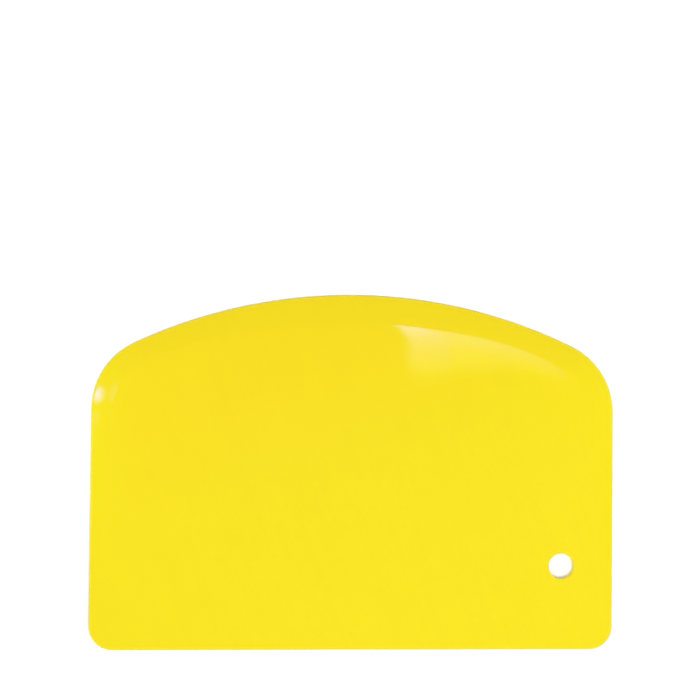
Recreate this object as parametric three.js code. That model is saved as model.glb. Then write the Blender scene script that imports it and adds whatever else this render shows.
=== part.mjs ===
// A pastry scraper, moulded as one flat sheet of flexible plastic. It has a straight edge that cuts dough,
// a bowed edge thinned to a lip that wipes bowls, and a round hole to hang it by.
// Millimetres, +Z up. The sheet lies on its back face with the lip's slope on the front face, the straight
// edge towards -Y and the bow towards +Y. The origin is the middle of the sheet's box, on the back face.
import * as THREE from "three";
import { mergeVertices } from "three/addons/utils/BufferGeometryUtils.js";

// The sheet
const SHEET_WIDTH = 125; // along the straight edge
const SHEET_HEIGHT = 84.5; // from the straight edge to the top of the bow
const SHEET_THICKNESS = 2;
const EDGE_BREAK = 0.3; // the small slope along every edge that isn't part of the lip

// The outline
const BOW_RISE = 17.2; // top of the bow above the points where its arc would cut the sides
const SHOULDER_RADIUS = 17.5; // corners between the bow and the sides
const FOOT_RADIUS = 5.5; // corners between the sides and the straight edge

// The lip, sloped down from a crease on the front face. It goes along the bow and round the shoulders, and
// runs out down the sides.
const RIM_THICKNESS = 0.8; // what the lip leaves at the rim
const LIP_WIDTH_AT_BOW = 6.8; // from the crease to the rim, at the top of the bow
const LIP_WIDTH_AT_SHOULDER = 5.1; // at the shoulders

// The hanging hole
const HOLE_DIAMETER = 6;
const HOLE_FROM_SIDE = 12.5; // from its centre
const HOLE_FROM_STRAIGHT_EDGE = 20; // from its centre

// Steps along each stretch
const BOW_STEPS = 48;
const SHOULDER_STEPS = 14;
const SIDE_STEPS = 4;
const FOOT_STEPS = 10;
const STRAIGHT_STEPS = 2;
const HOLE_STEPS = 40;

// Where the arcs of the outline are centred. The bow's radius follows from its chord and its rise. Each
// shoulder touches the side and the inside of the bow, so it lies one radius in from both.
const SIDE_X = SHEET_WIDTH / 2;
const STRAIGHT_Y = -SHEET_HEIGHT / 2;
const BOW_RADIUS = (SIDE_X ** 2 + BOW_RISE ** 2) / (2 * BOW_RISE);
const BOW_CENTRE_Y = SHEET_HEIGHT / 2 - BOW_RADIUS;
const SHOULDER_X = SIDE_X - SHOULDER_RADIUS;
const SHOULDER_Y = BOW_CENTRE_Y + Math.sqrt((BOW_RADIUS - SHOULDER_RADIUS) ** 2 - SHOULDER_X ** 2);
const BOW_HALF_ANGLE = Math.atan2(SHOULDER_X, SHOULDER_Y - BOW_CENTRE_Y); // from its top to a shoulder
const FOOT_X = SIDE_X - FOOT_RADIUS;
const FOOT_Y = STRAIGHT_Y + FOOT_RADIUS;

// How the front face is cut back from the rim: how far in the cut starts, and how deep it is at the rim.
const brokenEdge = { width: EDGE_BREAK, depth: EDGE_BREAK };
const shoulderLip = { width: LIP_WIDTH_AT_SHOULDER, depth: SHEET_THICKNESS - RIM_THICKNESS };

// Along a side, from the foot (0) to the shoulder (1), the lip grows evenly out of the broken edge.
function sideLip(up) {
  return {
    width: THREE.MathUtils.lerp(brokenEdge.width, shoulderLip.width, up),
    depth: THREE.MathUtils.lerp(brokenEdge.depth, shoulderLip.depth, up),
  };
}

// Along the bow, from one shoulder (0) to the other (1), the lip swells to its greatest width half way.
function bowLip(along) {
  const swell = Math.sin(Math.PI * along) ** 2;
  return {
    width: THREE.MathUtils.lerp(shoulderLip.width, LIP_WIDTH_AT_BOW, swell),
    depth: shoulderLip.depth,
  };
}

// The outline, anticlockwise from the left end of the straight edge, as curves that touch smoothly. Each has
// its number of steps and the cut along it.
function outlineStretches() {
  const right = 0;
  const up = Math.PI / 2;
  const left = Math.PI;
  const down = -Math.PI / 2;
  const bowRight = up - BOW_HALF_ANGLE;
  const bowLeft = up + BOW_HALF_ANGLE;
  const corner = (x, y) => new THREE.Vector2(x, y);
  const straight = new THREE.LineCurve(corner(-FOOT_X, STRAIGHT_Y), corner(FOOT_X, STRAIGHT_Y));
  const rightFoot = new THREE.ArcCurve(FOOT_X, FOOT_Y, FOOT_RADIUS, down, right);
  const rightSide = new THREE.LineCurve(corner(SIDE_X, FOOT_Y), corner(SIDE_X, SHOULDER_Y));
  const rightShoulder = new THREE.ArcCurve(SHOULDER_X, SHOULDER_Y, SHOULDER_RADIUS, right, bowRight);
  const bow = new THREE.ArcCurve(0, BOW_CENTRE_Y, BOW_RADIUS, bowRight, bowLeft);
  const leftShoulder = new THREE.ArcCurve(-SHOULDER_X, SHOULDER_Y, SHOULDER_RADIUS, bowLeft, left);
  const leftSide = new THREE.LineCurve(corner(-SIDE_X, SHOULDER_Y), corner(-SIDE_X, FOOT_Y));
  const leftFoot = new THREE.ArcCurve(-FOOT_X, FOOT_Y, FOOT_RADIUS, left, left + up);
  return [
    { curve: straight, steps: STRAIGHT_STEPS, cut: () => brokenEdge },
    { curve: rightFoot, steps: FOOT_STEPS, cut: () => brokenEdge },
    { curve: rightSide, steps: SIDE_STEPS, cut: sideLip },
    { curve: rightShoulder, steps: SHOULDER_STEPS, cut: () => shoulderLip },
    { curve: bow, steps: BOW_STEPS, cut: bowLip },
    { curve: leftShoulder, steps: SHOULDER_STEPS, cut: () => shoulderLip },
    { curve: leftSide, steps: SIDE_STEPS, cut: (along) => sideLip(1 - along) },
    { curve: leftFoot, steps: FOOT_STEPS, cut: () => brokenEdge },
  ];
}

// The four rings of points that shape the sheet's edge, from the back face round the rim to the front face.
function edgeRings() {
  const rings = { backFace: [], backRim: [], frontRim: [], crease: [] };
  for (const { curve, steps, cut } of outlineStretches()) {
    for (let i = 0; i < steps; i++) {
      const along = i / steps;
      const rim = curve.getPoint(along);
      const tangent = curve.getTangent(along);
      const inward = new THREE.Vector2(-tangent.y, tangent.x);
      const { width, depth } = cut(along);
      const pointAt = (inset, z) => {
        const { x, y } = rim.clone().addScaledVector(inward, inset);
        return new THREE.Vector3(x, y, z);
      };
      rings.backFace.push(pointAt(EDGE_BREAK, 0));
      rings.backRim.push(pointAt(0, EDGE_BREAK));
      rings.frontRim.push(pointAt(0, SHEET_THICKNESS - depth));
      rings.crease.push(pointAt(width, SHEET_THICKNESS));
    }
  }
  return rings;
}

// A ring of the hole's wall, anticlockwise.
function holeRing(radius, z) {
  const centreX = SIDE_X - HOLE_FROM_SIDE;
  const centreY = STRAIGHT_Y + HOLE_FROM_STRAIGHT_EDGE;
  const circle = new THREE.ArcCurve(centreX, centreY, radius, 0, 2 * Math.PI, false);
  return Array.from({ length: HOLE_STEPS }, (_, i) => {
    const point = circle.getPoint(i / HOLE_STEPS);
    return new THREE.Vector3(point.x, point.y, z);
  });
}

// The triangles of the band between two rings. They face out where the first ring is below the second.
function band(lower, upper) {
  return lower.flatMap((corner, i) => {
    const next = (i + 1) % lower.length;
    return [corner, lower[next], upper[next], corner, upper[next], upper[i]];
  });
}

// The triangles of a flat face with a hole in it. They face up.
function face(contour, hole) {
  const corners = [...contour, ...hole];
  const triangles = THREE.ShapeUtils.triangulateShape(contour, [hole]);
  return triangles.flat().map((i) => corners[i]);
}

// The same triangles turned over, to face the other way.
function turned(corners) {
  return corners.toReversed();
}

// The sheet's closed surface.
function sheetGeometry() {
  const edge = edgeRings();
  const radius = HOLE_DIAMETER / 2;
  const hole = {
    backFace: holeRing(radius + EDGE_BREAK, 0),
    back: holeRing(radius, EDGE_BREAK),
    front: holeRing(radius, SHEET_THICKNESS - EDGE_BREAK),
    frontFace: holeRing(radius + EDGE_BREAK, SHEET_THICKNESS),
  };
  const corners = [
    ...turned(face(edge.backFace, hole.backFace)),
    ...band(edge.backFace, edge.backRim),
    ...band(edge.backRim, edge.frontRim),
    ...band(edge.frontRim, edge.crease),
    ...face(edge.crease, hole.frontFace),
    ...turned(band(hole.backFace, hole.back)),
    ...turned(band(hole.back, hole.front)),
    ...turned(band(hole.front, hole.frontFace)),
  ];
  const geometry = mergeVertices(new THREE.BufferGeometry().setFromPoints(corners));
  geometry.computeVertexNormals();
  return geometry;
}

const yellowPlastic = new THREE.MeshStandardMaterial({ color: 0xf9e426, roughness: 0.3, metalness: 0 });

const blade = new THREE.Mesh(sheetGeometry(), yellowPlastic);
blade.name = "scraper_blade";

const scraper = new THREE.Group();
scraper.name = "pastry_scraper";
scraper.add(blade);

export default scraper;
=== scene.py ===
import math

import bpy
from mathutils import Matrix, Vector, geometry


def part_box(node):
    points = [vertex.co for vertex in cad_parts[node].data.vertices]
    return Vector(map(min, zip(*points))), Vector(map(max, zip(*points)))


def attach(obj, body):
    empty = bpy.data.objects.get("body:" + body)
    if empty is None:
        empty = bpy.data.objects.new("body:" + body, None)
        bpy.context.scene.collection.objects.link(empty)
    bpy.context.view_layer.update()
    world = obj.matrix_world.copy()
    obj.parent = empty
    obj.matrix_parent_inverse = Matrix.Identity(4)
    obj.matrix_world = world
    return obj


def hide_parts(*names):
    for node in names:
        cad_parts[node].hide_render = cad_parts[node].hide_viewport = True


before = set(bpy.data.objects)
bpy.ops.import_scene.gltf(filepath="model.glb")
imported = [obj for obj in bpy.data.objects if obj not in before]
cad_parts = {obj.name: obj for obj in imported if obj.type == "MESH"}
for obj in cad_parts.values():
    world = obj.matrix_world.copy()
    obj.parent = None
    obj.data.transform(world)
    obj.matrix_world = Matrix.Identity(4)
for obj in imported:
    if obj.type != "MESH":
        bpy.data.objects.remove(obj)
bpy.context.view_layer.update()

# The blade is the whole scraper: one sheet of yellow polypropylene, injection moulded in one shot. The mould
# leaves it flat on the back and polished on the front, thins it to a lip along the bow and the shoulders,
# and softens every edge. It hangs by a plain round hole, and nothing is fixed to it.
mm = 0.001
sheet_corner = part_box("scraper_blade")[1]
half_width, half_height, thickness = sheet_corner
bow_rise = 17.2 * mm
shoulder_radius = 17.5 * mm
foot_radius = 5.5 * mm
rim_thickness = 0.8 * mm
lip_width_at_bow = 6.8 * mm
lip_width_at_shoulder = 5.1 * mm
lip_width_at_foot = 1.2 * mm
lip_roundness = 0.25
crease_softness = 0.4 * mm
roll_width = 5.0 * mm
roll_width_at_foot = 1.0 * mm
roll_slope = math.radians(4.5)
edge_round = 0.3 * mm
hole_radius = 3.0 * mm
hole_from_side = 12.5 * mm
hole_from_straight_edge = 20.0 * mm
flat_margin = 0.6 * mm
face_mesh = 3.5 * mm
wear_width = 0.6 * mm
straight_steps = 30
foot_steps = 14
side_steps = 30
shoulder_steps = 28
bow_steps = 60
edge_steps = 6
lip_steps = 8
crease_steps = 5
roll_steps = 8
hole_steps = 72

# The arcs of the outline. The bow's radius follows from its chord and its rise, and each shoulder touches
# both the side and the inside of the bow.
bow_radius = (half_width**2 + bow_rise**2) / (2 * bow_rise)
bow_centre = Vector((0, half_height - bow_radius))
shoulder_x = half_width - shoulder_radius
shoulder_rise = math.sqrt((bow_radius - shoulder_radius) ** 2 - shoulder_x**2)
shoulder_centre = bow_centre + Vector((shoulder_x, shoulder_rise))
bow_half_angle = math.atan2(shoulder_x, shoulder_rise)
foot_centre = Vector((half_width - foot_radius, foot_radius - half_height))
hole_centre = Vector((half_width - hole_from_side, hole_from_straight_edge - half_height))


def between(a, b, share):
    return a + (b - a) * share


def steps(count):
    """Shares of a stretch, from 0 up to the step before its end."""
    return [i / count for i in range(count)]


def heading(angle):
    return Vector((math.cos(angle), math.sin(angle)))


def right_half():
    """Stops along the right half of the rim, from the middle of the straight edge up to the top of the bow.
    Each is the place on the rim, the way out of the sheet, the lip's width and how far its slope has grown,
    0 to 1."""
    quarter = math.pi / 2
    for t in steps(straight_steps):
        yield Vector((foot_centre.x * t, -half_height)), heading(-quarter), lip_width_at_foot, 0.0
    for t in steps(foot_steps):
        out = heading(between(-quarter, 0, t))
        yield foot_centre + foot_radius * out, out, lip_width_at_foot, 0.0
    for t in steps(side_steps):
        place = Vector((half_width, between(foot_centre.y, shoulder_centre.y, t)))
        yield place, heading(0), between(lip_width_at_foot, lip_width_at_shoulder, t), t
    for t in steps(shoulder_steps):
        out = heading(between(0, quarter - bow_half_angle, t))
        yield shoulder_centre + shoulder_radius * out, out, lip_width_at_shoulder, 1.0
    for t in steps(bow_steps) + [1.0]:
        out = heading(between(quarter - bow_half_angle, quarter, t))
        width = between(lip_width_at_shoulder, lip_width_at_bow, math.sin(t * quarter) ** 2)
        yield bow_centre + bow_radius * out, out, width, 1.0


def whole_rim():
    """The right half and its mirror image, anticlockwise."""
    half = list(right_half())
    flip = Vector((-1, 1))
    return half + [(place * flip, out * flip, width, grown) for place, out, width, grown in half[-2:0:-1]]


def bend(start, corner, end, count):
    """Points on a smooth bend that leaves its start towards a corner and comes to its end from there."""
    return [start.lerp(corner, t).lerp(corner.lerp(end, t), t) for t in steps(count) + [1.0]]


def rounded_edge(centre, start, end):
    """An edge's small round, as (distance in from the rim, height)."""
    turns = [between(start, end, t) for t in steps(edge_steps) + [1.0]]
    return [(centre[0] + edge_round * math.cos(a), centre[1] + edge_round * math.sin(a)) for a in turns]


def rim_section(lip_width, grown):
    """The sheet's edge cut across at one stop, as (distance in from the rim, height), from the back face
    round the rim, up the lip and over the crease to the flat of the front face. The lip is a little round,
    and inside the crease the face rolls down to it, ever steeper."""
    roll = between(roll_width_at_foot, roll_width, grown)
    roll_drop = grown * roll * math.tan(roll_slope) / 3
    rim_height = between(thickness, rim_thickness, grown)
    crease = Vector((lip_width, thickness - roll_drop))
    slope = math.atan2(crease.y - rim_height, lip_width)
    slope_at_rim = slope * (1 + lip_roundness)
    slope_at_crease = slope * (1 - lip_roundness)

    def face_point(from_crease):
        return Vector((lip_width + from_crease, thickness - roll_drop * (1 - from_crease / roll) ** 3))

    flat_back = (edge_round + flat_margin, 0.0)
    back_round = rounded_edge((edge_round, edge_round), 1.5 * math.pi, math.pi)
    front_centre = (edge_round, rim_height - edge_round * math.tan((math.pi / 2 - slope_at_rim) / 2))
    front_round = rounded_edge(front_centre, math.pi, math.pi / 2 + slope_at_rim)
    lip_start = Vector(front_round[-1])
    lip_end = crease - crease_softness * Vector((1, math.tan(slope_at_crease)))
    half_lip = (lip_end.x - lip_start.x) / 2
    lip_middle = lip_end - half_lip * Vector((1, math.tan(slope_at_crease)))
    lip = bend(lip_start, lip_middle, lip_end, lip_steps)
    soft_crease = bend(lip_end, crease, face_point(crease_softness), crease_steps)
    rolled = [face_point(between(crease_softness, roll, t)) for t in steps(roll_steps)[1:] + [1.0]]
    flat_front = (lip_width + roll + flat_margin, thickness)
    return [flat_back, *back_round, *front_round, *lip[1:-1], *soft_crease, *rolled, flat_front]


def hole_section():
    """The hole's edge cut across, as (distance out from its wall, height), from the front to the back."""
    back_round = rounded_edge((edge_round, edge_round), math.pi, 1.5 * math.pi)
    back = [*back_round, (edge_round + flat_margin, 0.0)]
    return [(out, thickness - height) for out, height in reversed(back)] + back


class Skin:
    """The sheet's surface as it is put together, with how worn it is at each point, 0 to 1."""

    def __init__(self):
        self.places = []
        self.wear = []
        self.faces = []

    def add(self, flat, height, wear=0.0):
        self.places.append((flat.x, flat.y, height))
        self.wear.append(wear)
        return len(self.places) - 1

    def add_section(self, origin, way, section):
        """The points of a cross-section that starts at an origin and goes one way over the sheet."""
        points = []
        for off, height in section:
            wear = max(0.0, 1 - off / wear_width)
            points.append(self.add(origin + way * off, height, wear))
        return points

    def wrap(self, sections):
        """Quads round a closed row of cross-sections."""
        for section, following in zip(sections, sections[1:] + sections[:1]):
            for a, b, c, d in zip(section, following, following[1:], section[1:]):
                self.faces.append((a, b, c, d))

    def fill(self, outer, inner, height, up):
        """A flat face between an outer and an inner closed row of points, in even triangles."""
        border = outer + inner
        spots = [Vector(self.places[i][:2]) for i in border]
        reach = max((spot - hole_centre).length for spot in spots[len(outer):])
        edges = [(i, (i + 1) % len(outer)) for i in range(len(outer))]
        edges += [(len(outer) + i, len(outer) + (i + 1) % len(inner)) for i in range(len(inner))]
        row_gap = face_mesh * math.sqrt(3) / 2
        rows = round(half_height / row_gap)
        columns = round(half_width / face_mesh)
        for row in range(-rows, rows + 1):
            for column in range(-columns, columns + 1):
                spot = Vector(((column + (row % 2) / 2) * face_mesh, row * row_gap))
                if min((spot - other).length for other in spots[:len(border)]) > face_mesh / 2:
                    spots.append(spot)
        inside_edges = 1
        same_spot = 1e-7
        filled = geometry.delaunay_2d_cdt(spots, edges, [], inside_edges, same_spot)
        spots, _, triangles, sources, _, _ = filled
        known = {}
        for triangle in triangles:
            centre = sum((spots[i] for i in triangle), Vector((0, 0))) / 3
            if (centre - hole_centre).length < reach:
                continue
            for i in triangle:
                if i not in known:
                    on_border = [source for source in sources[i] if source < len(border)]
                    known[i] = border[on_border[0]] if on_border else self.add(spots[i], height)
            corners = [known[i] for i in triangle]
            self.faces.append(corners if up else corners[::-1])


skin = Skin()
rim = [skin.add_section(place, -out, rim_section(width, grown)) for place, out, width, grown in whole_rim()]
skin.wrap(rim)
hole_ways = [heading(t * math.tau) for t in steps(hole_steps)]
hole = [skin.add_section(hole_centre + hole_radius * way, way, hole_section()) for way in hole_ways]
skin.wrap(hole)
skin.fill([section[-1] for section in rim], [section[0] for section in hole], thickness, up=True)
skin.fill([section[0] for section in rim], [section[-1] for section in hole], 0.0, up=False)

blade_mesh = bpy.data.meshes.new("moulded_blade")
blade_mesh.from_pydata(skin.places, [], skin.faces)
blade_mesh.polygons.foreach_set("use_smooth", [True] * len(blade_mesh.polygons))
blade_mesh.attributes.new("edge_wear", "FLOAT", "POINT").data.foreach_set("value", skin.wear)
blade_mesh.update()
blade = bpy.data.objects.new("moulded_blade", blade_mesh)
scene = bpy.context.scene
scene.collection.objects.link(blade)

# The plastic's finish. The pigment is a little cloudy, drawn out along the flow from the straight edge.
# Towards the bow the colour is painted darker and a deeper yellow, a painted shade where less light falls.
# The polish has faint waves, orange peel and hairlines, and the edges are scuffed paler and duller.
yellow_by_straight_edge = (0.812, 0.660, 0.0075, 1)
# Painted shade: the yellow by the bow is the same plastic, darker and deeper where less light falls.
yellow_shaded_by_bow = (0.828, 0.638, 0.0086, 1)
# The painted shade ramps along the lean of the flow and fades out near the sides.
flow_and_shade_lean = math.radians(19)
shade_ramp = (-7 * mm, 26 * mm)
shade_ends = (53 * mm, 61 * mm)
yellow_scuffed = (0.83, 0.70, 0.04, 1)
cloud_size = 9 * mm
streak_size = Vector((2, 45, 45)) * mm
cloud_noise = (0.6, 1.4)
cloud_brightness = (0.989, 1.011)
refraction = 1.49
polish_patch = 4 * mm
polish_noise = (0.3, 0.7)
front_roughness = (0.034, 0.046)
back_roughness = 0.17
scuff_size = 0.7 * mm
scuff_noise = (0.4, 0.7)
scuff_roughness = 0.1
hairline_size = Vector((0.1, 24, 24)) * mm
hairline_turns = (math.radians(62), math.radians(-38))
hairline_noise = (0.68, 0.74)
hairline_roughness = 0.08
peel_size = 1.3 * mm
peel_height = 0.0013 * mm
wave_size = 8 * mm
wave_height = 0.006 * mm

plastic = bpy.data.materials.new("yellow_plastic")
plastic.use_nodes = True
plastic_shader = plastic.node_tree.nodes["Principled BSDF"]


def add_node(tree, kind, output, inputs=None, **settings):
    """A node's output. The node has its settings, and inputs given as values or as outputs that feed them."""
    node = tree.nodes.new("ShaderNode" + kind)
    for name, value in settings.items():
        setattr(node, name, value)
    for name, value in (inputs or {}).items():
        socket = next(s for s in node.inputs if name in (s.identifier, s.name))
        if isinstance(value, bpy.types.NodeSocket):
            tree.links.new(value, socket)
        else:
            socket.default_value = value
    return next(s for s in node.outputs if output in (s.identifier, s.name))


def plastic_node(kind, output, inputs=None, **settings):
    return add_node(plastic.node_tree, kind, output, inputs, **settings)


def plastic_noise(place, size, detail=2.0):
    return plastic_node("TexNoise", "Fac", {"Vector": place, "Scale": 1 / size, "Detail": detail})


def turned(place, turn):
    return plastic_node("Mapping", "Vector", {"Vector": place, "Rotation": (0, 0, turn)})


def drawn_out(place, size):
    """The place on the sheet, counted in a grain's own sizes."""
    return plastic_node("VectorMath", "Vector", {"Vector": place, "Vector_001": size}, operation="DIVIDE")


def spread(value, low, high, to_low=0.0, to_high=1.0):
    limits = {"From Min": low, "From Max": high, "To Min": to_low, "To Max": to_high}
    return plastic_node("MapRange", "Result", {"Value": value, **limits})


def combine(operation, a, b):
    return plastic_node("Math", "Value", {"Value": a, "Value_001": b}, operation=operation)


sheet_place = plastic_node("TexCoord", "Object")
clouds = plastic_noise(sheet_place, cloud_size, detail=4.0)
flow_and_shade_place = turned(sheet_place, -flow_and_shade_lean)
streaks = plastic_noise(drawn_out(flow_and_shade_place, streak_size), 1.0)
cloudy = spread(combine("ADD", clouds, streaks), *cloud_noise, *cloud_brightness)
# Painted shade: the colour turns darker towards the bow along this lean, and not near the sides.
along_shade_ramp = plastic_node("SeparateXYZ", "Y", {"Vector": flow_and_shade_place})
across_sheet = plastic_node("SeparateXYZ", "X", {"Vector": sheet_place})
from_middle = combine("MAXIMUM", across_sheet, combine("MULTIPLY", across_sheet, -1.0))
clear_of_sides = spread(from_middle, *shade_ends, 1.0, 0.0)
painted_shade = combine("MULTIPLY", spread(along_shade_ramp, *shade_ramp), clear_of_sides)
scuffs = spread(plastic_noise(sheet_place, scuff_size, detail=3.0), *scuff_noise)
worn = plastic_node("Attribute", "Fac", attribute_name="edge_wear")
scuffed = combine("MULTIPLY", scuffs, worn)
yellows = {"Factor_Float": painted_shade, "A_Color": yellow_by_straight_edge, "B_Color": yellow_shaded_by_bow}
shaded_yellow = plastic_node("Mix", "Result_Color", yellows, data_type="RGBA")
clouded = {"Vector": shaded_yellow, "Scale": cloudy}
clean_yellow = plastic_node("VectorMath", "Vector", clouded, operation="SCALE")
worn_yellow = {"Factor_Float": scuffed, "A_Color": clean_yellow, "B_Color": yellow_scuffed}
plastic_colour = plastic_node("Mix", "Result_Color", worn_yellow, data_type="RGBA")


def hairlines(turn):
    grain = plastic_noise(drawn_out(turned(sheet_place, turn), hairline_size), 1.0, detail=1.0)
    return spread(grain, *hairline_noise, 0.0, hairline_roughness)


polish = spread(plastic_noise(sheet_place, polish_patch, detail=3.0), *polish_noise, *front_roughness)
scratches = combine("MAXIMUM", *[hairlines(turn) for turn in hairline_turns])
scratched = combine("ADD", polish, scratches)
dulled = combine("ADD", scratched, combine("MULTIPLY", scuffed, scuff_roughness))
height_on_sheet = plastic_node("SeparateXYZ", "Z", {"Vector": sheet_place})
on_back = spread(height_on_sheet, edge_round, 0.0, 0.0, back_roughness)
plastic_roughness = combine("ADD", dulled, on_back)

peel = {"Height": plastic_noise(sheet_place, peel_size), "Distance": peel_height}
peel_normal = plastic_node("Bump", "Normal", peel)
waves = {"Height": plastic_noise(sheet_place, wave_size), "Distance": wave_height, "Normal": peel_normal}
plastic_normal = plastic_node("Bump", "Normal", waves)

plastic_shader.inputs["IOR"].default_value = refraction
plastic.node_tree.links.new(plastic_colour, plastic_shader.inputs["Base Color"])
plastic.node_tree.links.new(plastic_roughness, plastic_shader.inputs["Roughness"])
plastic.node_tree.links.new(plastic_normal, plastic_shader.inputs["Normal"])
blade_mesh.materials.append(plastic)

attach(blade, "root")
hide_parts("scraper_blade")

# The floor is one wide sheet of matt white paper, laid flat on a table. The scraper lies loose on it, on its
# back face.
floor_half = 4.0
floor_gap = 0.02 * mm
paper_white = (0.97, 0.97, 0.97, 1)
corner_ways = ((-1, -1), (1, -1), (1, 1), (-1, 1))
floor_corners = [(x * floor_half, y * floor_half, -floor_gap) for x, y in corner_ways]
floor_mesh = bpy.data.meshes.new("paper_floor")
floor_mesh.from_pydata(floor_corners, [], [(0, 1, 2, 3)])
floor = bpy.data.objects.new("paper_floor", floor_mesh)
scene.collection.objects.link(floor)
paper = bpy.data.materials.new("white_paper")
paper.use_nodes = True
paper_shader = paper.node_tree.nodes["Principled BSDF"]
paper_shader.inputs["Base Color"].default_value = paper_white
paper_shader.inputs["Roughness"].default_value = 1.0
paper_shader.inputs["Specular IOR Level"].default_value = 0.0
floor_mesh.materials.append(paper)

# The camera stands over the sheet, a little to the left of it, and looks almost straight down. The sheet
# fills the lower half of the picture.
camera_distance = 450 * mm
pixels_per_metre = 4180.3
picture_side = 700
aim_point = Vector((-1.35, 29.2, 0)) * mm
lean_back = math.radians(0.11)
lean_left = math.radians(-4.64)
roll_left = math.radians(0.615)
lens = bpy.data.cameras.new("camera")
lens.sensor_width = 36
lens.lens = pixels_per_metre * camera_distance * lens.sensor_width / picture_side
lens.clip_start = 10 * mm
camera = bpy.data.objects.new("camera", lens)
camera.rotation_mode = "ZXY"
camera.rotation_euler = (lean_back, lean_left, roll_left)
camera.location = aim_point + camera.rotation_euler.to_matrix() @ Vector((0, 0, camera_distance))
scene.collection.objects.link(camera)
scene.camera = camera
scene.view_settings.view_transform = "Standard"

# The studio is a tent of white cloth round the table. Its walls have lit panels with dim gaps between them,
# and are dim at their foot. Its roof is open to a dark ceiling, so that the face mirrors little else than the
# softboxes.
panel_glow = 1.25
gap_share = 0.25
panels = 4
panel_softness = 0.12
foot_share = 0.15
foot_end = math.sin(math.radians(8))
wall_start = math.sin(math.radians(34))
roof_edge = math.cos(math.radians(52))
roof_opening = math.cos(math.radians(38))
ceiling_glow = 0.21
tent = bpy.data.worlds.new("light_tent")
tent.use_nodes = True


def tent_node(kind, output, inputs=None, **settings):
    return add_node(tent.node_tree, kind, output, inputs, **settings)


def tent_step(value, low, high, to_low=0.0, to_high=1.0):
    limits = {"From Min": low, "From Max": high, "To Min": to_low, "To Max": to_high}
    return tent_node("MapRange", "Result", {"Value": value, **limits}, interpolation_type="SMOOTHSTEP")


def tent_math(operation, a, b=0.0):
    return tent_node("Math", "Value", {"Value": a, "Value_001": b}, operation=operation)


sight = tent_node("TexCoord", "Generated")
sight_x, sight_y, sight_z = (tent_node("SeparateXYZ", axis, {"Vector": sight}) for axis in "XYZ")
bearing = tent_math("ARCTAN2", sight_y, sight_x)
panel_wave = tent_math("SINE", tent_math("MULTIPLY", bearing, panels))
panel_share = tent_step(panel_wave, -panel_softness, panel_softness, gap_share, 1.0)
wall_light = tent_step(sight_z, foot_end, wall_start, foot_share * panel_glow, panel_glow)
roof_open = tent_step(sight_z, roof_edge, roof_opening)
panel_light = tent_math("MULTIPLY", wall_light, panel_share)
roof = {"Factor_Float": roof_open, "A_Float": panel_light, "B_Float": ceiling_glow}
tent_light = tent_node("Mix", "Result_Float", roof, data_type="FLOAT")
tent_background = tent.node_tree.nodes["Background"]
tent.node_tree.links.new(tent_light, tent_background.inputs["Strength"])
tent_background.inputs["Color"].default_value = (1, 1, 1, 1)
scene.world = tent


# Lamps over the table and by the walls light the sheet, a little more on its right and by its straight edge.
# Two cards stand low beside it and light its lip. None of these shows in the gloss, as if each were behind a
# polariser.
def hang_softbox(name, place, aim, size, glow, colour=(1, 1, 1)):
    """A rectangular softbox that faces an aim point. Its glow is how bright it looks, with white at 1."""
    light = bpy.data.lights.new(name, "AREA")
    light.shape = "RECTANGLE"
    light.size, light.size_y = size
    light.energy = glow * math.pi * light.size * light.size_y
    light.color = colour
    softbox = bpy.data.objects.new(name, light)
    softbox.location = place
    softbox.rotation_euler = (Vector(aim) - Vector(place)).to_track_quat("-Z", "Y").to_euler()
    scene.collection.objects.link(softbox)
    return softbox


def hang_lamp(name, place, aim, size, glow, colour=(1, 1, 1)):
    """A lamp or a card that lights the sheet and doesn't show in its gloss."""
    lamp = hang_softbox(name, place, aim, size, glow, colour)
    lamp.visible_glossy = False


lamp_size = (0.3, 0.3)
wall_lamp_size = (0.6, 0.6)
card_size = (0.06, 0.03)
card_lemon = (0.8, 1.0, 0.7)
hang_lamp("right_lamp", place=(0.12, -0.15, 0.6), aim=(0.12, -0.15, 0), size=lamp_size, glow=7.1)
hang_lamp("left_lamp", place=(-0.06, -0.15, 0.6), aim=(-0.06, -0.15, 0), size=lamp_size, glow=3.1)
hang_lamp("right_wall_lamp", place=(0.9, 0, 0.9), aim=(0, 0, 0), size=wall_lamp_size, glow=1.15)
hang_lamp("left_wall_lamp", place=(-0.9, 0, 0.9), aim=(0, 0, 0), size=wall_lamp_size, glow=2.0)
hang_lamp("right_card", place=(0.1, 0.02, 0.02), aim=(0.06, 0.02, 0), size=card_size, glow=0.5)
left_card = {"place": (-0.1, 0.02, 0.02), "aim": (-0.06, 0.02, 0), "colour": card_lemon}
hang_lamp("left_card", size=card_size, glow=0.75, **left_card)

# The softboxes that show in the gloss are mirrored by the face and by the lip of the left shoulder. A lemon
# pair makes the even part of the highlight, and cold ones make the glare that grows towards the crease and
# the spot on the shoulder.
lemon = (0.63, 1.0, 0.33)
cold = (0.1, 0.2, 1.0)


def mirror_place(spot, normal, over):
    """Where a softbox hangs, at a height over the sheet, for the camera to see it mirrored in a spot."""
    sight = (camera.location - spot).normalized()
    way = 2 * normal.dot(sight) * normal - sight
    return spot + way * (over - spot.z) / way.z


def fade_softbox(light, low_share, right_share):
    """Dims a softbox to nothing at its lower edge, over a share of its height, and evenly across to a share
    of its glow at its right edge."""
    light.use_nodes = True
    tree = light.node_tree
    spot = add_node(tree, "NewGeometry", "Parametric")
    across, up = (add_node(tree, "SeparateXYZ", axis, {"Vector": spot}) for axis in "XY")
    rise = add_node(tree, "MapRange", "Result", {"Value": up, "From Max": low_share})
    fall = add_node(tree, "MapRange", "Result", {"Value": across, "To Min": 1.0, "To Max": right_share})
    both = {"Value": rise, "Value_001": fall}
    strength = add_node(tree, "Math", "Value", both, operation="MULTIPLY")
    tree.links.new(strength, tree.nodes["Emission"].inputs["Strength"])


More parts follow.
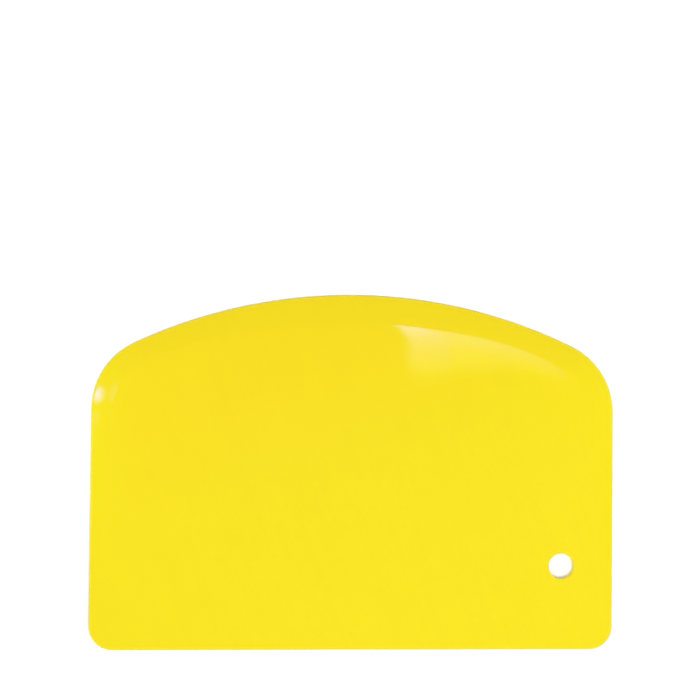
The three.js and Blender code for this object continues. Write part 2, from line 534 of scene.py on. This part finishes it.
def hang_over_face(name, x, y, over, glow, fade, turn=0.0, right_share=1.0, colour=cold):
    """A softbox hung level, so that the camera sees its mirror image on the flat of the front face, from low
    to high x and y. Its lower edge fades out over a distance on the face."""
    up = Vector((0, 0, 1))
    low, high = (mirror_place(Vector((*corner, thickness)), up, over) for corner in zip(x, y))
    middle = low.lerp(high, 0.5)
    softbox = hang_softbox(name, middle, middle - up, (high - low).xy, glow, colour)
    softbox.rotation_euler.z += turn
    fade_softbox(softbox.data, fade / (y[1] - y[0]), right_share)


block = {"x": (12.8 * mm, 23 * mm), "y": (21.4 * mm, 85 * mm)}
hang_over_face("block_softbox", over=0.7, glow=1.05, fade=3.2 * mm, colour=lemon, **block)
wing = {"x": (23 * mm, 54 * mm), "y": (23.4 * mm, 85 * mm), "right_share": 0.3}
hang_over_face("wing_softbox", over=0.7, glow=1.5, fade=3 * mm, colour=lemon, **wing)
glare = {"x": (12.8 * mm, 23 * mm), "y": (23.7 * mm, 85 * mm), "right_share": 0.85}
hang_over_face("glare_softbox", over=0.6, glow=2.45, fade=8.4 * mm, **glare)
hot = {"x": (12.8 * mm, 20.5 * mm), "y": (35 * mm, 88 * mm), "right_share": 0.75}
hang_over_face("hot_softbox", over=0.65, glow=4.4, fade=28 * mm, **hot)
strip_turn = math.radians(6)
strip = {"x": (21.5 * mm, 62 * mm), "y": (24.8 * mm, 85 * mm), "turn": strip_turn, "right_share": 0.45}
hang_over_face("strip_softbox", over=0.75, glow=2.15, fade=27 * mm, **strip)


def soften_softbox(light):
    """Dims a softbox smoothly from its middle out to its edges."""
    light.use_nodes = True
    tree = light.node_tree
    middle = {"Vector": add_node(tree, "NewGeometry", "Parametric"), "Vector_001": (0.5, 0.5, 0)}
    off_middle = add_node(tree, "VectorMath", "Value", middle, operation="DISTANCE")
    fall = {"Value": off_middle, "From Min": 0.0, "From Max": 0.5, "To Min": 1.0, "To Max": 0.0}
    strength = add_node(tree, "MapRange", "Result", fall, interpolation_type="SMOOTHSTEP")
    tree.links.new(strength, tree.nodes["Emission"].inputs["Strength"])


def hang_by_shoulder(name, turn, slope, over, size, glow):
    """A cold softbox that the left shoulder's lip mirrors, at a turn up from the side and a slope."""
    out = heading(math.pi - turn)
    rim_spot = shoulder_centre * Vector((-1, 1)) + shoulder_radius * out
    normal = Vector((*(math.sin(slope) * out), math.cos(slope)))
    spot = Vector((*rim_spot, rim_thickness))
    softbox = hang_softbox(name, mirror_place(spot, normal, over), spot, size, glow, cold)
    soften_softbox(softbox.data)


shoulder_spot = {"turn": math.radians(12), "slope": math.radians(14.3), "over": 0.9, "size": (0.19, 0.28)}
hang_by_shoulder("spot_softbox", glow=16.0, **shoulder_spot)
shoulder_streak = {"turn": math.radians(18), "slope": math.radians(8), "over": 0.7, "size": (0.15, 0.2)}
hang_by_shoulder("streak_softbox", glow=1.8, **shoulder_streak)
